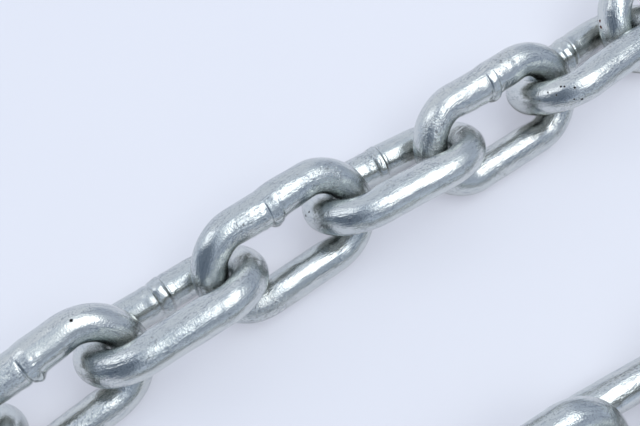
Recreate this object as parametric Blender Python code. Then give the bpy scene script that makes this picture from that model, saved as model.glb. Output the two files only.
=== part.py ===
"""A cut length of hot-dip galvanised steel chain, lying folded back on itself on a level surface.

Every link is the same: a round bar bent to a long ring and butt-welded in the middle of one leg.
Neighbouring links lie in planes at a right angle to each other. Laid on a flat surface, the links roll
about 45 degrees to the left and to the right in turn, and each one rests on its lower leg.

Frame: metres, +Z up, +X along the first run of the chain. The origin is under the middle of the chain,
on the surface that it lies on.
"""

import math

import bmesh
import bpy
import numpy as np
from mathutils import Matrix, Vector

# Link, after the usual proof-coil chain made from 8.4 mm bar
BAR_DIAMETER = 0.0084
INSIDE_LENGTH = 0.0320
INSIDE_WIDTH = 0.0128
LINK_COUNT = 28

# The upset ring that the butt weld leaves round the middle of one leg
WELD_RISE = 0.0004
WELD_WIDTH = 0.0044
WELD_SHOULDER = 0.0008

# Mesh of a link: eight flats, whose corners are on the round bar's surface. One of the flats faces
# straight down when the link leans 45 degrees.
BAR_SIDES = 8
CROWN_STEPS = 8
SMOOTH_ANGLE = math.radians(50.0)

# The route that the chain lies along: length of each stretch, and its curvature per metre at its end
# (to the left is positive). The curvature changes evenly along a stretch.
START_HEADING = math.radians(3.0)
ROUTE = [
    (0.080, 0.0),
    (0.030, -1.0),
    (0.080, -1.2),
    (0.035, 2.0),
    (0.035, 7.0),
    (0.025, 9.0),
    (0.0103, 9.0),
    (0.050, -15.6),
    (0.2138, -15.6),
    (0.050, 6.2),
    (0.030, 0.0),
    (0.400, 0.0),
]
ROUTE_STEP = 0.001

# How the links lie: neighbours lean 45 degrees to either side, and in a bend the outer lean is steeper.
# In the straight runs they also point a little to either side of the route, as loose links do.
LEVEL_LEAN = math.radians(45.0)
LEAN_PER_CURVATURE = 0.0066
LOOSE_YAW = math.radians(1.8)
SEAT_GAP = 0.0004
SAMPLES_PER_LINK = 160
CLOSEST_SPACING = 0.90
WIDEST_SPACING = 1.03
HALVINGS = 18

ZINC_COLOR = (0.62, 0.65, 0.67, 1.0)
ZINC_ROUGHNESS = 0.34

BAR_RADIUS = BAR_DIAMETER / 2
CROWN_RADIUS = (INSIDE_WIDTH + BAR_DIAMETER) / 2
LEG_LENGTH = INSIDE_LENGTH - INSIDE_WIDTH


def clear_scene():
    for item in list(bpy.data.objects):
        bpy.data.objects.remove(item, do_unlink=True)


def zinc_material():
    material = bpy.data.materials.new("hot_dip_zinc")
    material.use_nodes = True
    shader = material.node_tree.nodes["Principled BSDF"]
    shader.inputs["Base Color"].default_value = ZINC_COLOR
    shader.inputs["Metallic"].default_value = 1.0
    shader.inputs["Roughness"].default_value = ZINC_ROUGHNESS
    return material


def crown_stations(end):
    """Places round the half-circle at one end: (centre of the bar, outward direction, bar radius)."""
    stations = []
    for step in range(CROWN_STEPS + 1):
        angle = math.pi / 2 - math.pi * step / CROWN_STEPS
        outward = Vector((end * math.cos(angle), end * math.sin(angle), 0.0))
        centre = Vector((end * LEG_LENGTH / 2, 0.0, 0.0)) + outward * CROWN_RADIUS
        stations.append((centre, outward, BAR_RADIUS))
    return stations


def weld_stations():
    """Places over the upset ring, on the leg at +Y, on the way from -X to +X."""
    outward = Vector((0.0, 1.0, 0.0))
    half = WELD_WIDTH / 2
    profile = [
        (-half - WELD_SHOULDER, BAR_RADIUS),
        (-half, BAR_RADIUS + WELD_RISE),
        (half, BAR_RADIUS + WELD_RISE),
        (half + WELD_SHOULDER, BAR_RADIUS),
    ]
    return [(Vector((x, CROWN_RADIUS, 0.0)), outward, radius) for x, radius in profile]


def link_mesh(material):
    """One link about its own middle, lying in the XY plane with its length along X."""
    shape = bmesh.new()
    rings = []
    for centre, outward, radius in crown_stations(1) + crown_stations(-1) + weld_stations():
        ring = []
        for side in range(BAR_SIDES):
            angle = 2 * math.pi * (side + 0.5) / BAR_SIDES
            offset = outward * math.cos(angle) + Vector((0.0, 0.0, math.sin(angle)))
            ring.append(shape.verts.new(centre + offset * radius))
        rings.append(ring)
    for ring, following in zip(rings, rings[1:] + rings[:1]):
        for side in range(BAR_SIDES):
            after = (side + 1) % BAR_SIDES
            shape.faces.new((ring[side], ring[after], following[after], following[side]))
    bmesh.ops.recalc_face_normals(shape, faces=shape.faces)
    mesh = bpy.data.meshes.new("chain_link")
    shape.to_mesh(mesh)
    shape.free()
    mesh.shade_smooth()
    mesh.set_sharp_from_angle(angle=SMOOTH_ANGLE)
    mesh.materials.append(material)
    return mesh


def route_points():
    """Distance, x, y, heading and curvature at even steps along the route."""
    ends = np.cumsum([0.0] + [length for length, _ in ROUTE])
    curvatures = [0.0] + [curvature for _, curvature in ROUTE]
    distance = np.arange(0.0, ends[-1], ROUTE_STEP)
    curvature = np.interp(distance, ends, curvatures)
    turns = (curvature[1:] + curvature[:-1]) / 2 * ROUTE_STEP
    heading = START_HEADING + np.concatenate([[0.0], np.cumsum(turns)])
    middle = (heading[1:] + heading[:-1]) / 2
    x = np.concatenate([[0.0], np.cumsum(np.cos(middle) * ROUTE_STEP)])
    y = np.concatenate([[0.0], np.cumsum(np.sin(middle) * ROUTE_STEP)])
    return distance, x, y, heading, curvature


def link_matrix(index, distance, route, mesh):
    """How a link lies whose middle is at a distance along the route: resting on its lower side."""
    x, y, heading, curvature = (np.interp(distance, route[0], row) for row in route[1:])
    side = 1.0 if index % 2 else -1.0
    lean = math.asin(math.sin(LEVEL_LEAN) - side * LEAN_PER_CURVATURE * curvature)
    yaw = heading + side * LOOSE_YAW * math.cos(heading)
    turned = Matrix.Rotation(yaw, 4, "Z") @ Matrix.Rotation(side * lean, 4, "X")
    lowest = min((turned @ vertex.co).z for vertex in mesh.vertices)
    return Matrix.Translation((x, y, -lowest)) @ turned


def bar_centreline():
    """Points along the middle of a link's bar, in the link's own frame."""
    half_length = LEG_LENGTH + math.pi * CROWN_RADIUS
    points = []
    for step in range(SAMPLES_PER_LINK):
        along = 2 * half_length * step / SAMPLES_PER_LINK
        end = 1.0
        if along >= half_length:
            along -= half_length
            end = -1.0
        if along < LEG_LENGTH:
            points.append((end * (along - LEG_LENGTH / 2), end * CROWN_RADIUS, 0.0))
        else:
            angle = math.pi / 2 - (along - LEG_LENGTH) / CROWN_RADIUS
            out = LEG_LENGTH / 2 + CROWN_RADIUS * math.cos(angle)
            points.append((end * out, end * CROWN_RADIUS * math.sin(angle), 0.0))
    return np.array(points)


def placed(points, matrix):
    matrix = np.array(matrix)
    return points @ matrix[:3, :3].T + matrix[:3, 3]


def clearance(points, others):
    """Gap between the bars of two links, from the points along their middles."""
    return float(np.linalg.norm(points[:, None] - others[None], axis=2).min()) - BAR_DIAMETER


def lay_chain(mesh):
    """Lays each link along the route as far from the last one as their interlocked crowns allow."""
    route = route_points()
    line = bar_centreline()
    distance = 0.0
    matrices = [link_matrix(0, distance, route, mesh)]
    for index in range(1, LINK_COUNT):
        before = placed(line, matrices[-1])
        near = distance + INSIDE_LENGTH * CLOSEST_SPACING
        far = distance + INSIDE_LENGTH * WIDEST_SPACING
        for _ in range(HALVINGS):
            middle = (near + far) / 2
            after = placed(line, link_matrix(index, middle, route, mesh))
            if clearance(before, after) > SEAT_GAP:
                near = middle
            else:
                far = middle
        distance = near
        matrices.append(link_matrix(index, distance, route, mesh))
    return matrices


def centred(matrices, mesh):
    """Moves the whole chain so that the middle of its box is over the origin."""
    corners = [matrix @ vertex.co for matrix in matrices for vertex in mesh.vertices]
    middle_x = (min(c.x for c in corners) + max(c.x for c in corners)) / 2
    middle_y = (min(c.y for c in corners) + max(c.y for c in corners)) / 2
    shift = Matrix.Translation((-middle_x, -middle_y, 0.0))
    return [shift @ matrix for matrix in matrices]


def seat_of(matrix, before):
    """Where the last link's bar passes through this link's plane, inside this link's ring."""
    ahead = placed(bar_centreline(), matrix.inverted() @ before)
    following = np.roll(ahead, -1, axis=0)
    crossings = []
    for point, after in zip(ahead, following):
        if point[2] * after[2] <= 0.0 and point[2] != after[2]:
            share = point[2] / (point[2] - after[2])
            crossings.append(point + (after - point) * share)
    x, y, _ = max(crossings, key=lambda crossing: crossing[0])
    return Matrix.Translation((x, y, 0.0))


def build_chain():
    """Makes the links and hangs each one on an empty at its seat on the link before it.

    A link swings in its own plane, so the empty's Z axis is the axis of its hinge.
    """
    mesh = link_mesh(zinc_material())
    previous, previous_matrix = None, None
    for index, matrix in enumerate(centred(lay_chain(mesh), mesh)):
        name = f"link_{index + 1:02d}"
        link = bpy.data.objects.new(name, mesh)
        bpy.context.collection.objects.link(link)
        if previous is None:
            link.matrix_world = matrix
        else:
            seat_matrix = matrix @ seat_of(matrix, previous_matrix)
            seat = bpy.data.objects.new(f"{name}_seat", None)
            bpy.context.collection.objects.link(seat)
            seat.parent = previous
            seat.matrix_basis = previous_matrix.inverted() @ seat_matrix
            link.parent = seat
            link.matrix_basis = seat_matrix.inverted() @ matrix
        previous, previous_matrix = link, matrix


clear_scene()
build_chain()
bpy.context.view_layer.update()
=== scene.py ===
"""The looks of a length of hot-dip galvanised steel chain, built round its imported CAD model.

Each link of the CAD model is replaced by a fine mesh of the same link in the same place: a round bar, a
little thicker than the CAD model's, with the slight waves of a bent and dipped bar, and with an uneven
butt weld in the middle of one leg. The weld is trimmed smooth outside the link, and leaves a ring and a
burr inside it. One procedural zinc material covers all the links.

Units: metres and radians, unless a comment says millimetres or degrees. Among the numbers for the shapes,
a pair is the range of a random draw, or the two values between which something fades, unless a comment
says otherwise.
"""

import math

import bpy
import numpy as np
from mathutils import Matrix, Vector


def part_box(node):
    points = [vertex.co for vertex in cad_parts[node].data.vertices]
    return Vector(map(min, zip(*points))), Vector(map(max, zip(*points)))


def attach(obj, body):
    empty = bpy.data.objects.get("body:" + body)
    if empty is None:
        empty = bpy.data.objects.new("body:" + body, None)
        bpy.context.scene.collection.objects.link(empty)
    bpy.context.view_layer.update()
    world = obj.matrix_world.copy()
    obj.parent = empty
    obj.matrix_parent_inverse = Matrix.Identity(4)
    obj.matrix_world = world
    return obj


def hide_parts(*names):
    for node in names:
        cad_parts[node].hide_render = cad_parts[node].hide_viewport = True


MILLIMETRES = 1000

# Link, as in the CAD model
BAR_RADIUS = 0.0042
CROWN_RADIUS = 0.0106
LEG_LENGTH = 0.0192
HALF_BAR = LEG_LENGTH + math.pi * CROWN_RADIUS

# How far past a leg's end a point of the CAD model has to lie to be one of the crown's, and to how many
# decimals two of its points are the same
CROWN_MARGIN = 0.001
SAME_POINT_DIGITS = 7

# How much thicker the bar is than in the CAD model, in millimetres: on the outside of the link, and on
# the inside of the legs. The inside of the crowns, where the links hold each other, isn't thicker.
OUTER_GROWTH = 0.20
LEG_GROWTH = 0.50

# Where that changes: from the inside to the outside by the cosine of the angle round the bar from the
# outside, and from leg to crown by the distance along the bar from the middle of the leg
GROWTH_SIDES = (-0.5, 0.5)
LEG_GROWTH_FADE = (0.0055, 0.0135)

# Mesh of a link: points round the bar, and the steps along it, finer at the weld
SIDES = 52
FINE_STEP = 0.00016
COARSE_STEP = 0.00046
FINE_REACH = 0.0042

# Smooth noises of the surface: the number of each, for its seed, and its wavelength in millimetres
NOISES = {
    "waves": (1, 8.0),
    "ripples": (2, 2.6),
    "blister places": (3, 11.0),
    "blisters": (4, 1.7),
    "weld lumps": (5, 2.4),
}
SEEDS_PER_LINK = 7
WAVELENGTH_SPREAD = (0.7, 1.5)

# Heights of the noises, in millimetres, and the value of "blister places" from which there are blisters
WAVE_HEIGHT = 0.040
RIPPLE_HEIGHT = 0.008
BLISTER_HEIGHT = 0.07
BLISTER_LIMIT = 0.9

# The two ends of the bar don't meet in line at the weld: how far each is off, over what length they
# join, how far along the bar the offset reaches, and its angle from the outside
OFFSET = (0.00016, 0.00026)
OFFSET_JOIN = 0.0009
OFFSET_REACH = 0.011
OFFSET_ANGLE = (0.2, 0.9)

# Weld, in millimetres along the bar and over it. The ring and the burr fade round the bar by minus the
# cosine of the angle from the outside, which is 1 on the inside of the link. The squareness is a power,
# and the lumps are a share of the heights.
RING_MIDDLE = (0.0, 0.5)
RING_HALF_WIDTH = (1.20, 1.80)
RING_HEIGHT = (0.24, 0.32)
RING_SIDES = (-0.85, 0.20)
RING_SQUARENESS = 8
WELD_SKEW = 0.25
WELD_LUMPS = 0.24
GROOVE_DEPTH = (0.12, 0.32)
BURR_HEIGHT = (0.55, 0.75)
BURR_SIDES = (0.20, 0.80)
SEAM_DEPTH = 0.07
SEAM_WIDTH = 0.22

# Shapes at the left and at the right of the weld, in millimetres. The tops of the burr are measured from
# the ring's middle, and the overhangs and the distances of the shoulders from its edges.
GROOVE_WIDTHS = (0.28, 0.32)
SHOULDER_HEIGHTS = (0.16, 0.08)
SHOULDER_DISTANCES = (1.3, 0.9)
SHOULDER_WIDTHS = (0.9, 0.7)
BURR_OVERHANGS = (0.9, 1.1)
BURR_TOPS = (0.3, 0.5)

# Welds of the links that show theirs in the photograph, in millimetres: where the ring's middle is along
# the bar, half the ring's width, and the depths of the grooves on its two sides
SEEN_WELDS = {
    4: (0.35, 1.50, 0.36, 0.02),
    5: (0.35, 1.75, 0.28, 0.32),
    6: (0.00, 1.70, 0.14, 0.14),
    7: (0.45, 1.35, 0.20, 0.34),
    8: (0.50, 1.30, 0.20, 0.30),
    9: (-0.30, 1.90, 0.05, 0.32),
}

# Marks that show on single links: number of the link, distance along the bar from its weld (mm), angle
# round the bar from the outside of the link (degrees), and radius (mm)
PITS = [
    (4, 12.0, 46, 0.26),
    (7, -27.2, 38, 0.22),
    (7, -26.1, 20, 0.24),
    (9, -37.8, 26, 0.22),
    (9, -38.3, 338, 0.24),
    (9, -35.6, 46, 0.18),
    (9, -36.2, 42, 0.18),
    (9, -34.4, 24, 0.16),
    (9, -33.0, 40, 0.16),
    (9, -37.0, 350, 0.18),
    (9, -31.2, 18, 0.16),
]
RUST_SPOTS = [
    (10, -19.2, 340, 0.32),
    (10, -20.4, 342, 0.38),
]
ROUGH_PATCHES = [
    (6, 14.8, 86, 2.2),
    (6, -8.0, 82, 1.6),
    (6, -37.0, 72, 2.4),
    (6, -40.4, 68, 2.6),
    (6, -44.0, 52, 2.2),
    (7, -1.4, 132, 1.2),
    (8, -19.5, 84, 2.6),
    (8, 0.6, 150, 1.3),
]

# Coordinates of the material: the bar is drawn out along its length, so that the streaks run along it,
# and each link has its own stretch of the pattern, in millimetres
STREAK_STRETCH = 4.5
PATTERN_STEP = 40.0

# Where the weld makes the zinc lumpy: how far along the bar, and from where to where round it, by minus
# the cosine of the angle, as for the ring
WELD_REACH = 0.0030
WELD_SIDES = (-0.3, 0.3)

# Painted shade, with some dirt, beside the neighbours: how far it reaches, how many places along a
# neighbour's bar there are to one that is measured to, and how many points of the link are measured at
# once
CROOK_SHADE_AND_DIRT_REACH = 0.0008
NEIGHBOUR_PLACES = 3
POINTS_AT_ONCE = 3000

# Noises of the zinc: scale per millimetre, detail and roughness. The first four run in streaks.
CLOUDS = (0.16, 2.0, 0.5)
BROAD = (0.30, 2.0, 0.5)
MEDIUM = (0.85, 3.0, 0.6)
FINE = (2.5, 2.0, 0.6)
GRAIN = (2.3, 2.0, 0.6)
RAGGED = (1.6, 3.0, 0.6)
WILD = (0.12, 2.0, 0.5)
LUMPS = (1.25, 3.0, 0.6)

# The value that those noises lie about
NOISE_MIDDLE = 0.5

# Scattered pits: cells per millimetre. A cell has a pit if its point lies at the surface.
PIT_CELLS = 0.10

# Ramps of the zinc: the two values of the pattern between which the result changes, and the results at
# the two where they aren't 0 and 1
SPECKLED_RAMP = (0.40, 0.60, 0.30, 1.2)
WILD_RAMP = (0.60, 0.70)
PIT_RAMP = (0.015, 0.026, 1.0, 0.0)
CLOUD_RAMP = (0.35, 0.65)
GREY_RAMP = (0.55, 0.72, 0.0, 0.45)
STREAK_SPECK_RAMP = (0.50, 0.68, 0.0, 0.42)
GRAIN_SPECK_RAMP = (0.53, 0.68, 0.0, 0.52)
UNDERSIDE_SHADE_RAMP = (0.05, 0.70, 0.0, 0.90)
HOLLOW_SHADE_RAMP = (0.30, 0.46, 0.6, 0.0)
CROOK_SHADE_AND_DIRT_RAMP = (0.55, 1.0, 0.0, 0.50)
RIM_RAMP = (0.05, 0.50)
ROUGHNESS_RAMP = (0.35, 0.7, 0.13, 0.22)
DULL_ROUGHNESS_RAMP = (0.2, 0.9, 0.0, 0.12)
CROOK_ROUGHNESS_RAMP = (0.4, 1.0, 0.0, 0.20)

# Roughness that the lumpy places add, and the pits and rust spots, and how lumpy the zinc is at the weld
LUMP_ROUGHNESS = 0.08
PIT_ROUGHNESS = 0.4
WELD_LUMPINESS = 0.30

# How ragged the marks are, and how wide their edges, against their radius
PIT_EDGE = 0.6
RUST_EDGE = 0.4
PATCH_EDGE = 0.8
RUST_RAGGEDNESS = 2.5
PATCH_RAGGEDNESS = 2.0

# Colours of the zinc
GREEN_ZINC = (0.60, 0.635, 0.625, 1)
PALE_ZINC = (0.67, 0.69, 0.665, 1)
GREY_ZINC = (0.42, 0.46, 0.49, 1)
STREAK_SPECK = (0.28, 0.32, 0.37, 1)
GRAIN_SPECK = (0.28, 0.31, 0.34, 1)
# Painted shade on the undersides, which face the floor
UNDERSIDE_SHADE = (0.40, 0.405, 0.37, 1)
# Painted shade in the hollows of the lumpy places
HOLLOW_SHADE = (0.10, 0.105, 0.10, 1)
# Painted shade, with some dirt, in the crooks beside the neighbouring links
CROOK_SHADE_AND_DIRT = (0.20, 0.205, 0.18, 1)
PIT = (0.035, 0.035, 0.035, 1)
RUST = (0.13, 0.035, 0.015, 1)
UNSHADED_RIM = (1, 1, 1, 1)
# Painted shade in the low-angle reflections of the undersides
UNDERSIDE_RIM_SHADE = (0.42, 0.43, 0.39, 1)

# Heights of the bumps, in millimetres
BROAD_BUMP = 0.09
MEDIUM_BUMP = 0.062
FINE_BUMP = 0.105
GRAIN_BUMP = 0.062
LUMP_BUMP = 0.16
PIT_BUMP = -0.12

# Camera, from the outlines of the links in the photograph
CAMERA_PLACE = Vector((-0.0917, -0.0323, 0.2135))
CAMERA_TARGET = Vector((-0.0317, 0.0389, 0.0))
CAMERA_ROLL = math.radians(5.36)
FOCAL_PIXELS = 914.0
IMAGE_WIDTH = 640
SENSOR_WIDTH = 36.0
NEAREST_SEEN = 0.01

# Floor: just under the chain, whose bars are thicker here than in the CAD model. Its pattern is given
# like the zinc's noises, but per metre, and its tones are those at the pattern's two ends.
FLOOR_HEIGHT = -0.00060
FLOOR_SIZE = 24.0
FLOOR_CLEARNESS = 0.40
FLOOR_ROUGHNESS = 0.8
FLOOR_GLOSS = 0.1
FLOOR_PATTERN = (6.0, 2.0, 0.5)
FLOOR_TONES = ((0.785, 0.805, 0.845, 1), (0.830, 0.850, 0.880, 1))

# Lights: a soft box level over the chain, a pale panel behind its far end, and a fill for the floor
SOFT_BOX_PLACE = (0.20, -0.12, 0.60)
SOFT_BOX_SIZE = (0.36, 0.50)
SOFT_BOX_POWER = 1.0
PANEL_PLACE = (-0.49, 0.49, 0.58)
PANEL_SIZE = (0.36, 0.50)
PANEL_POWER = 0.52
FILL_HEIGHT = 1.0
FILL_SIZE = 1.6
FILL_POWER = 2.75

# The room round the chain: its plain tone, and lobes of other tones, each with its direction, and the
# closeness to that direction where the tone starts and where it is full. The last one is the light that
# comes up through the floor.
ROOM_COLOR = (0.56, 0.64, 0.79, 1)
ROOM_LOBES = [
    ((0.08, 0.90, 0.42), 0.55, 0.92, (0.74, 0.79, 0.90, 1)),
    ((0.43, -0.20, 0.88), 0.72, 0.93, (0.86, 0.94, 1.05, 1)),
    ((0.93, 0.25, 0.26), 0.78, 0.96, (0.44, 0.50, 0.62, 1)),
    ((0.66, -0.60, 0.45), 0.84, 0.98, (0.42, 0.48, 0.60, 1)),
    ((0.05, -0.86, 0.50), 0.93, 0.99, (0.33, 0.38, 0.47, 1)),
    ((-0.87, -0.24, 0.43), 0.58, 0.90, (0.16, 0.20, 0.27, 1)),
    ((0.00, 0.00, -1.00), 0.00, 0.02, (0.838, 0.864, 1.003, 1)),
]


def bell(value, width):
    return np.exp(-((value / width) ** 2))


def rising(value, low, high):
    """A smooth rise from 0 at the low value to 1 at the high one."""
    share = np.clip((value - low) / (high - low), 0, 1)
    return share * share * (3 - 2 * share)


def smooth_noise(points, seed, wavelength, terms=14):
    """A sum of waves of about one length in all directions, from about -1 to 1, at points in mm."""
    random = np.random.RandomState(seed)
    total = np.zeros(len(points))
    for _ in range(terms):
        direction = random.normal(size=3)
        direction /= np.linalg.norm(direction)
        length = wavelength * random.uniform(*WAVELENGTH_SPREAD)
        phase = random.uniform(0, 2 * math.pi)
        total += np.sin(points @ direction * (2 * math.pi / length) + phase)
    return total / math.sqrt(terms)


def unevenness(kind, points, number):
    """One of the noises of the surface. Each link has its own."""
    index, wavelength = NOISES[kind]
    return smooth_noise(points, number * SEEDS_PER_LINK + index, wavelength)


def link_place(name, following):
    """The matrix of a link in the frame: X along it towards the next link, Y to the leg with the weld.

    A link is longer than wide, and wider than thick, so the main directions of its points are its own
    axes. Its direction is told by the following link, or for the last link by the one before it.
    """
    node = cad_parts[name]
    points = np.array([vertex.co for vertex in node.data.vertices])
    points = np.unique(np.round(points, SAME_POINT_DIGITS), axis=0)
    middle = (points.max(0) + points.min(0)) / 2
    _, _, directions = np.linalg.svd(points - points.mean(0), full_matrices=False)
    along, across = directions[0], directions[1]
    low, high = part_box(following)
    ahead = np.array((low + high) / 2) - middle
    if following < name:
        ahead = -ahead
    if along @ ahead < 0:
        along = -along
    positions = (points - middle) @ np.stack([along, across], 1)
    crowns = positions[np.abs(positions[:, 0]) > LEG_LENGTH / 2 + CROWN_MARGIN]
    centre_across = (crowns[:, 1].max() + crowns[:, 1].min()) / 2
    centre_along = (positions[:, 0].max() + positions[:, 0].min()) / 2
    centre = middle + along * centre_along + across * centre_across
    # The CAD model has more points on the leg with the weld than on the other
    if positions[:, 1].mean() < centre_across:
        across = -across
    normal = np.cross(along, across)
    depth = (points - centre) @ normal
    centre = centre + normal * (depth.max() + depth.min()) / 2
    matrix = Matrix.Identity(4)
    for column, direction in enumerate((along, across, normal)):
        for row in range(3):
            matrix[row][column] = direction[row]
    matrix.translation = Vector(centre)
    return matrix


def stations():
    """Distances along the bar's centreline from the middle of the weld, right round the link."""
    fine = np.arange(0.0, FINE_REACH, FINE_STEP)
    count = int((HALF_BAR - FINE_REACH) / COARSE_STEP)
    coarse = np.linspace(FINE_REACH, HALF_BAR, count + 1)
    one_way = np.concatenate([fine, coarse])
    return np.concatenate([one_way, -one_way[-2:0:-1]])


def centreline(distance):
    """Centre of the bar and outward direction at each distance from the middle of the +Y leg."""
    distance = np.where(distance < 0, distance + 2 * HALF_BAR, distance)
    centres = np.zeros((len(distance), 3))
    outward = np.zeros((len(distance), 3))
    half_leg = LEG_LENGTH / 2
    bend = math.pi * CROWN_RADIUS
    for index, s in enumerate(distance):
        if s < half_leg or s > 2 * HALF_BAR - half_leg:
            x = s if s < half_leg else s - 2 * HALF_BAR
            centres[index] = (x, CROWN_RADIUS, 0)
            outward[index] = (0, 1, 0)
        elif s < half_leg + bend:
            angle = math.pi / 2 - (s - half_leg) / CROWN_RADIUS
            outward[index] = (math.cos(angle), math.sin(angle), 0)
            centres[index] = outward[index] * CROWN_RADIUS
            centres[index, 0] += half_leg
        elif s < half_leg + bend + LEG_LENGTH:
            centres[index] = (half_leg - (s - half_leg - bend), -CROWN_RADIUS, 0)
            outward[index] = (0, -1, 0)
        else:
            angle = -math.pi / 2 - (s - half_leg - bend - LEG_LENGTH) / CROWN_RADIUS
            outward[index] = (math.cos(angle), math.sin(angle), 0)
            centres[index] = outward[index] * CROWN_RADIUS
            centres[index, 0] -= half_leg
    return centres, outward


def growth(s, angle):
    """How far the bar's surface lies outside the CAD model's round bar, in millimetres."""
    from_leg = np.minimum(np.abs(s), HALF_BAR - np.abs(s))
    leg = 1 - rising(from_leg, *LEG_GROWTH_FADE)
    outer = rising(np.cos(angle), *GROWTH_SIDES)
    return OUTER_GROWTH * outer + LEG_GROWTH * leg * (1 - outer)


def weld_rise(along, angle, points, number, random):
    """Height of the weld over the bar, in mm: a seam, and inside the link a ring and a burr."""
    middle, half = random.uniform(*RING_MIDDLE), random.uniform(*RING_HALF_WIDTH)
    left_depth, right_depth = random.uniform(*GROOVE_DEPTH, 2)
    if number in SEEN_WELDS:
        middle, half, left_depth, right_depth = SEEN_WELDS[number]
    skew = WELD_SKEW * np.cos(angle - random.uniform(0, 2 * math.pi))
    place = along - middle - skew
    facing_in = -np.cos(angle)
    inside = rising(facing_in, *RING_SIDES)
    lumps = 1 + WELD_LUMPS * np.tanh(unevenness("weld lumps", points, number))

    ring = random.uniform(*RING_HEIGHT) * lumps / (1 + (place / half) ** RING_SQUARENESS)
    grooves = left_depth * bell(place + half, GROOVE_WIDTHS[0])
    grooves = lumps * (grooves + right_depth * bell(place - half, GROOVE_WIDTHS[1]))
    left, right = SHOULDER_DISTANCES
    shoulders = SHOULDER_HEIGHTS[0] * bell(place + half + left, SHOULDER_WIDTHS[0])
    shoulders = shoulders + SHOULDER_HEIGHTS[1] * bell(place - half - right, SHOULDER_WIDTHS[1])

    burr = random.uniform(*BURR_HEIGHT) * lumps * rising(facing_in, *BURR_SIDES)
    left, right = BURR_OVERHANGS
    burr *= rising(place, -half - left, BURR_TOPS[0]) * (1 - rising(place, BURR_TOPS[1], half + right))
    seam = SEAM_DEPTH * bell(place + half, SEAM_WIDTH)
    return inside * (ring - grooves + shoulders) + burr - seam


def surface_height(s, angle, skin, number, random):
    """Height of a link's surface over the CAD model's round bar, in millimetres."""
    height = growth(s, angle)
    height += WAVE_HEIGHT * unevenness("waves", skin, number)
    height += RIPPLE_HEIGHT * unevenness("ripples", skin, number)
    blisters = np.clip(unevenness("blister places", skin, number) - BLISTER_LIMIT, 0, 1)
    height += BLISTER_HEIGHT * blisters * np.abs(unevenness("blisters", skin, number))
    height += weld_rise(s * MILLIMETRES, angle, skin, number, random)
    return height


def offset_at_weld(s, out, up, random):
    """How far each point is moved, because the two ends of the bar don't meet in line at the weld."""
    step = np.tanh(s / OFFSET_JOIN) * bell(s, OFFSET_REACH) * random.uniform(*OFFSET)
    lift = random.uniform(*OFFSET_ANGLE)
    sideways = out * math.cos(lift) + up * math.sin(lift)
    return sideways * step[:, None]


def ring_faces(rings):
    """The corners of the faces between rings of points, right round the link."""
    index = np.arange(rings * SIDES).reshape(rings, SIDES)
    beside = np.roll(index, -1, axis=1)
    following = np.roll(index, -1, axis=0)
    quads = np.stack([index, beside, np.roll(following, -1, axis=1), following], -1)
    return quads.reshape(-1, 4)


def add_values(mesh, title, values):
    """Gives each point of a mesh a number, or a vector, for the material to read."""
    if values.ndim > 1:
        attribute = mesh.attributes.new(title, "FLOAT_VECTOR", "POINT")
        attribute.data.foreach_set("vector", values.astype(np.float32).ravel())
    else:
        attribute = mesh.attributes.new(title, "FLOAT", "POINT")
        attribute.data.foreach_set("value", values.astype(np.float32))


def link_mesh(name, number, place, material):
    """A link in its place in the frame, with its own unevenness, and what the material needs of it."""
    random = np.random.RandomState(number)
    distance = stations()
    centres, outward = centreline(distance)
    s = np.repeat(distance, SIDES)
    angle = np.tile(np.arange(SIDES) * 2 * math.pi / SIDES, len(distance))
    out = np.repeat(outward, SIDES, axis=0)
    up = np.array([0, 0, 1.0])
    direction = out * np.cos(angle)[:, None] + up * np.sin(angle)[:, None]
    base = np.repeat(centres, SIDES, axis=0) + direction * BAR_RADIUS
    skin = base * MILLIMETRES
    height = surface_height(s, angle, skin, number, random)
    offset = offset_at_weld(s, out, up, random)
    points = base + direction * height[:, None] / MILLIMETRES + offset
    turned = np.array(place)
    points = points @ turned[:3, :3].T + turned[:3, 3]

    mesh = bpy.data.meshes.new(name)
    mesh.from_pydata(points.tolist(), [], ring_faces(len(distance)).tolist())
    mesh.shade_smooth()
    mesh.materials.append(material)

    shift = number * PATTERN_STEP
    turn = s / HALF_BAR * math.pi
    wheel = HALF_BAR * MILLIMETRES / math.pi / STREAK_STRETCH
    radius = BAR_RADIUS * MILLIMETRES
    streaks = [np.cos(turn) * wheel, np.sin(turn) * wheel, np.cos(angle) * radius + shift]
    add_values(mesh, "skin", skin + [0, 0, shift])
    add_values(mesh, "streaks", np.stack(streaks, 1))
    add_values(mesh, "streaks_w", np.sin(angle) * radius)
    add_values(mesh, "beneath", np.clip(-(direction @ turned[:3, :3].T)[:, 2], 0, 1))
    add_values(mesh, "weld", bell(s, WELD_REACH) * rising(-np.cos(angle), *WELD_SIDES))
    return mesh, points


def crook_shade_and_dirt(points, neighbours):
    """How close each point is to a neighbour's bar, 0 to 1, for the painted shade and dirt in the crooks.
    """
    centres, _ = centreline(stations()[::NEIGHBOUR_PLACES])
    shade_and_dirt = np.zeros(len(points))
    for matrix in neighbours:
        local = np.array(matrix)
        line = centres @ local[:3, :3].T + local[:3, 3]
        for start in range(0, len(points), POINTS_AT_ONCE):
            chosen = slice(start, start + POINTS_AT_ONCE)
            gap = np.linalg.norm(points[chosen][:, None] - line[None], axis=2).min(1) - BAR_RADIUS
            shade_and_dirt[chosen] = np.maximum(shade_and_dirt[chosen], np.exp(-np.clip(gap, 0, 1) / CROOK_SHADE_AND_DIRT_REACH))
    return shade_and_dirt


def on_skin(number, distance, degrees):
    """Where a mark lies in the coordinates of the material, in millimetres."""
    centres, outward = centreline(np.array([distance / MILLIMETRES]))
    angle = math.radians(degrees)
    direction = outward[0] * math.cos(angle) + np.array([0, 0, math.sin(angle)])
    place = (centres[0] + direction * BAR_RADIUS) * MILLIMETRES
    return Vector(place) + Vector((0, 0, number * PATTERN_STEP))


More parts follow.
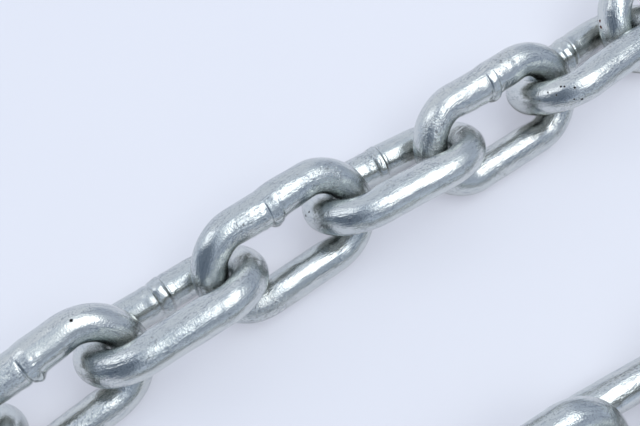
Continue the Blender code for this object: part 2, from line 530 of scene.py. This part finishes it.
class Nodes:
    """Short ways to add and join shader nodes."""

    def __init__(self, tree):
        self.tree = tree

    def add(self, kind, **values):
        node = self.tree.nodes.new(kind)
        for key, value in values.items():
            setattr(node, key, value)
        return node

    def join(self, output, socket):
        self.tree.links.new(output, socket)

    def attribute(self, name, output="Fac"):
        return self.add("ShaderNodeAttribute", attribute_name=name).outputs[output]

    def noise(self, vector, scale, detail, roughness, w=None):
        node = self.add("ShaderNodeTexNoise")
        node.inputs["Scale"].default_value = scale
        node.inputs["Detail"].default_value = detail
        node.inputs["Roughness"].default_value = roughness
        self.join(vector, node.inputs["Vector"])
        if w is not None:
            node.noise_dimensions = "4D"
            self.join(w, node.inputs["W"])
        return node.outputs["Fac"]

    def ramp(self, value, low, high, start=0.0, end=1.0):
        """A smooth change from the start at the low value to the end at the high one."""
        node = self.add("ShaderNodeMapRange", interpolation_type="SMOOTHSTEP")
        for socket, number in (("From Min", low), ("From Max", high), ("To Min", start), ("To Max", end)):
            node.inputs[socket].default_value = number
        self.join(value, node.inputs["Value"])
        return node.outputs["Result"]

    def math(self, operation, first, second):
        node = self.add("ShaderNodeMath", operation=operation)
        for socket, value in zip(node.inputs, (first, second)):
            if isinstance(value, (int, float)):
                socket.default_value = value
            else:
                self.join(value, socket)
        return node.outputs["Value"]

    def times(self, first, second):
        return self.math("MULTIPLY", first, second)

    def larger(self, first, second):
        return self.math("MAXIMUM", first, second)

    def total(self, values):
        result = values[0]
        for value in values[1:]:
            result = self.math("ADD", result, value)
        return result

    def mix(self, amount, first, second):
        node = self.add("ShaderNodeMix", data_type="RGBA")
        self.join(amount, node.inputs[0])
        for socket, value in ((node.inputs[6], first), (node.inputs[7], second)):
            if isinstance(value, tuple):
                socket.default_value = value
            else:
                self.join(value, socket)
        return node.outputs[2]

    def marks(self, skin, ragged, marks, edge):
        """1 inside the marks and 0 outside, with an edge of a given width and the given raggedness."""
        result = None
        for number, distance, degrees, radius in marks:
            node = self.add("ShaderNodeVectorMath", operation="DISTANCE")
            self.join(skin, node.inputs[0])
            node.inputs[1].default_value = on_skin(number, distance, degrees)
            away = self.math("ADD", node.outputs["Value"], self.times(ragged, radius))
            mark = self.ramp(away, radius, radius * (1 + edge), 1.0, 0.0)
            result = mark if result is None else self.larger(result, mark)
        return result


class Zinc:
    """The patterns of bright hot-dip zinc, and the colour, roughness and height that they make."""

    def __init__(self, make):
        self.make = make
        skin = make.attribute("skin", "Vector")
        streaks = make.attribute("streaks", "Vector")
        streaks_w = make.attribute("streaks_w")
        self.shade_and_dirt = make.attribute("shade_and_dirt")
        self.beneath = make.attribute("beneath")

        self.clouds = make.noise(streaks, *CLOUDS, streaks_w)
        self.broad = make.noise(streaks, *BROAD, streaks_w)
        self.medium = make.noise(streaks, *MEDIUM, streaks_w)
        self.fine = make.noise(streaks, *FINE, streaks_w)
        self.grain = make.noise(skin, *GRAIN)
        self.lumps = make.noise(skin, *LUMPS)
        self.speckled = make.ramp(self.broad, *SPECKLED_RAMP)

        ragged = make.math("SUBTRACT", make.noise(skin, *RAGGED), NOISE_MIDDLE)
        self.rough_part = self.rough_places(skin, ragged)
        cells = make.add("ShaderNodeTexVoronoi")
        cells.inputs["Scale"].default_value = PIT_CELLS
        make.join(skin, cells.inputs["Vector"])
        scattered = make.ramp(cells.outputs["Distance"], *PIT_RAMP)
        self.pits = make.larger(scattered, make.marks(skin, ragged, PITS, PIT_EDGE))
        self.rust = make.marks(skin, make.times(ragged, RUST_RAGGEDNESS), RUST_SPOTS, RUST_EDGE)

    def rough_places(self, skin, ragged):
        """Where the zinc is lumpy: on wild patches, on the chosen patches, and a little at the weld."""
        make = self.make
        wild = make.ramp(make.noise(skin, *WILD), *WILD_RAMP)
        chosen = make.marks(skin, make.times(ragged, PATCH_RAGGEDNESS), ROUGH_PATCHES, PATCH_EDGE)
        weld = make.times(make.attribute("weld"), WELD_LUMPINESS)
        return make.larger(make.larger(wild, chosen), weld)

    def tone(self):
        """The colour of the zinc, with each pattern laid over the ones before it."""
        make = self.make
        tone = make.mix(make.ramp(self.clouds, *CLOUD_RAMP), GREEN_ZINC, PALE_ZINC)
        tone = make.mix(make.ramp(self.medium, *GREY_RAMP), tone, GREY_ZINC)
        specks = make.times(make.ramp(self.fine, *STREAK_SPECK_RAMP), self.speckled)
        tone = make.mix(specks, tone, STREAK_SPECK)
        specks = make.times(make.ramp(self.grain, *GRAIN_SPECK_RAMP), self.speckled)
        tone = make.mix(specks, tone, GRAIN_SPECK)
        # Painted shade on the undersides, which face the floor
        tone = make.mix(make.ramp(self.beneath, *UNDERSIDE_SHADE_RAMP), tone, UNDERSIDE_SHADE)
        # Painted shade in the hollows of the lumpy places
        hollow_shade = make.times(make.ramp(self.lumps, *HOLLOW_SHADE_RAMP), self.rough_part)
        tone = make.mix(hollow_shade, tone, HOLLOW_SHADE)
        # Painted shade, with some dirt, in the crooks where the neighbouring links hold this one
        tone = make.mix(make.ramp(self.shade_and_dirt, *CROOK_SHADE_AND_DIRT_RAMP), tone, CROOK_SHADE_AND_DIRT)
        tone = make.mix(self.pits, tone, PIT)
        return make.mix(self.rust, tone, RUST)

    def rim(self):
        """The colour of what is seen at a low angle, darker on the underside by painted shade."""
        return self.make.mix(self.make.ramp(self.beneath, *RIM_RAMP), UNSHADED_RIM, UNDERSIDE_RIM_SHADE)

    def roughness(self):
        """How blurred the reflections are."""
        make = self.make
        return make.total([
            make.ramp(self.medium, *ROUGHNESS_RAMP),
            make.times(self.rough_part, LUMP_ROUGHNESS),
            make.ramp(self.beneath, *DULL_ROUGHNESS_RAMP),
            make.ramp(self.shade_and_dirt, *CROOK_ROUGHNESS_RAMP),
            make.times(make.larger(self.pits, self.rust), PIT_ROUGHNESS),
        ])

    def height(self):
        """The relief that is too fine for the mesh, in millimetres."""
        make = self.make
        return make.total([
            make.times(self.broad, BROAD_BUMP),
            make.times(self.medium, MEDIUM_BUMP),
            make.times(self.fine, make.times(self.speckled, FINE_BUMP)),
            make.times(self.grain, GRAIN_BUMP),
            make.times(self.lumps, make.times(self.rough_part, LUMP_BUMP)),
            make.times(make.larger(self.pits, self.rust), PIT_BUMP),
        ])


def zinc_material():
    """Bright hot-dip zinc: streaks along the bar, rough patches, pits, and painted shade and dirt in the
    crooks.
    """
    material = bpy.data.materials.new("hot_dip_zinc")
    material.use_nodes = True
    make = Nodes(material.node_tree)
    zinc = Zinc(make)
    shader = material.node_tree.nodes["Principled BSDF"]
    shader.inputs["Metallic"].default_value = 1.0
    make.join(zinc.tone(), shader.inputs["Base Color"])
    make.join(zinc.rim(), shader.inputs["Specular Tint"])
    make.join(zinc.roughness(), shader.inputs["Roughness"])
    bump = make.add("ShaderNodeBump")
    bump.inputs["Strength"].default_value = 1.0
    bump.inputs["Distance"].default_value = 1 / MILLIMETRES
    make.join(zinc.height(), bump.inputs["Height"])
    make.join(bump.outputs["Normal"], shader.inputs["Normal"])
    return material


def build_links():
    material = zinc_material()
    names = sorted(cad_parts)
    places = []
    for index, name in enumerate(names):
        neighbour = names[index + 1] if index + 1 < len(names) else names[index - 1]
        places.append(link_place(name, neighbour))
    for index, (name, place) in enumerate(zip(names, places)):
        mesh, points = link_mesh(f"{name}_zinc", index + 1, place, material)
        around = places[max(index - 1, 0):index] + places[index + 1:index + 2]
        # Closeness to the neighbours, for the painted shade and dirt in the crooks
        add_values(mesh, "shade_and_dirt", crook_shade_and_dirt(points, around))
        piece = bpy.data.objects.new(f"{name}_zinc", mesh)
        bpy.context.scene.collection.objects.link(piece)
        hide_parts(name)
        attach(piece, name)


def paper_material():
    """Pale paper, partly clear, so that the light from below keeps the shadows weak."""
    material = bpy.data.materials.new("pale_paper")
    material.use_nodes = True
    nodes = material.node_tree.nodes
    make = Nodes(material.node_tree)
    shader = nodes["Principled BSDF"]
    shader.inputs["Roughness"].default_value = FLOOR_ROUGHNESS
    shader.inputs["Specular IOR Level"].default_value = FLOOR_GLOSS
    coordinates = make.add("ShaderNodeTexCoord").outputs["Object"]
    tone = make.mix(make.noise(coordinates, *FLOOR_PATTERN), *FLOOR_TONES)
    make.join(tone, shader.inputs["Base Color"])
    clear = make.add("ShaderNodeBsdfTransparent")
    blend = make.add("ShaderNodeMixShader")
    blend.inputs["Fac"].default_value = FLOOR_CLEARNESS
    make.join(shader.outputs["BSDF"], blend.inputs[1])
    make.join(clear.outputs["BSDF"], blend.inputs[2])
    make.join(blend.outputs["Shader"], nodes["Material Output"].inputs["Surface"])
    return material


def build_floor():
    """A plain pale sheet, lit from below too, like a light table."""
    half = FLOOR_SIZE / 2
    mesh = bpy.data.meshes.new("floor")
    corners = [(-half, -half, 0), (half, -half, 0), (half, half, 0), (-half, half, 0)]
    mesh.from_pydata(corners, [], [(0, 1, 2, 3)])
    mesh.materials.append(paper_material())
    floor = bpy.data.objects.new("floor", mesh)
    floor.location.z = FLOOR_HEIGHT
    bpy.context.scene.collection.objects.link(floor)


def area_light(name, place, size, power):
    """A rectangular light that faces down and isn't seen by the camera."""
    light = bpy.data.lights.new(name, "AREA")
    light.shape = "RECTANGLE"
    light.size, light.size_y = size
    light.energy = power
    lamp = bpy.data.objects.new(name, light)
    bpy.context.scene.collection.objects.link(lamp)
    lamp.location = place
    lamp.visible_camera = False
    return lamp


def build_room():
    """The room that the zinc reflects, in a few plain tones."""
    world = bpy.data.worlds.new("studio")
    bpy.context.scene.world = world
    world.use_nodes = True
    make = Nodes(world.node_tree)
    outlook = make.add("ShaderNodeTexCoord").outputs["Generated"]
    color = ROOM_COLOR
    for direction, start, full, tone in ROOM_LOBES:
        towards = make.add("ShaderNodeVectorMath", operation="DOT_PRODUCT")
        make.join(outlook, towards.inputs[0])
        towards.inputs[1].default_value = direction
        color = make.mix(make.ramp(towards.outputs["Value"], start, full), color, tone)
    make.join(color, world.node_tree.nodes["Background"].inputs["Color"])


def build_lights():
    """A soft box over the chain, a panel that faces it from behind, and an even fill."""
    area_light("soft_box", SOFT_BOX_PLACE, SOFT_BOX_SIZE, SOFT_BOX_POWER)
    panel = area_light("panel", PANEL_PLACE, PANEL_SIZE, PANEL_POWER)
    panel.rotation_euler = (-Vector(PANEL_PLACE)).to_track_quat("-Z", "Y").to_euler()
    fill = area_light("fill", (0, 0, FILL_HEIGHT), (FILL_SIZE, FILL_SIZE), FILL_POWER)
    fill.visible_glossy = False


def build_camera():
    camera = bpy.data.cameras.new("camera")
    camera.sensor_width = SENSOR_WIDTH
    camera.sensor_fit = "HORIZONTAL"
    camera.lens = FOCAL_PIXELS / IMAGE_WIDTH * SENSOR_WIDTH
    camera.clip_start = NEAREST_SEEN
    eye = bpy.data.objects.new("camera", camera)
    bpy.context.scene.collection.objects.link(eye)
    facing = (CAMERA_TARGET - CAMERA_PLACE).to_track_quat("-Z", "Y").to_matrix().to_4x4()
    roll = Matrix.Rotation(CAMERA_ROLL, 4, "Z")
    eye.matrix_world = Matrix.Translation(CAMERA_PLACE) @ facing @ roll
    bpy.context.scene.camera = eye


bpy.context.scene.view_settings.view_transform = "Standard"
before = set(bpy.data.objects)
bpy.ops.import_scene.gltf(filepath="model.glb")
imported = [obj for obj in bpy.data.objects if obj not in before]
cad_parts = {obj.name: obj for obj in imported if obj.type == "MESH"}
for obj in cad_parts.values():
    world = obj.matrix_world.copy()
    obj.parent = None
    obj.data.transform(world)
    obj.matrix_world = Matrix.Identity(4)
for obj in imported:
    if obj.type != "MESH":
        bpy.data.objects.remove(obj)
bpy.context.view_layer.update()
build_camera()
build_links()
build_floor()
build_lights()
build_room()
bpy.context.view_layer.update()
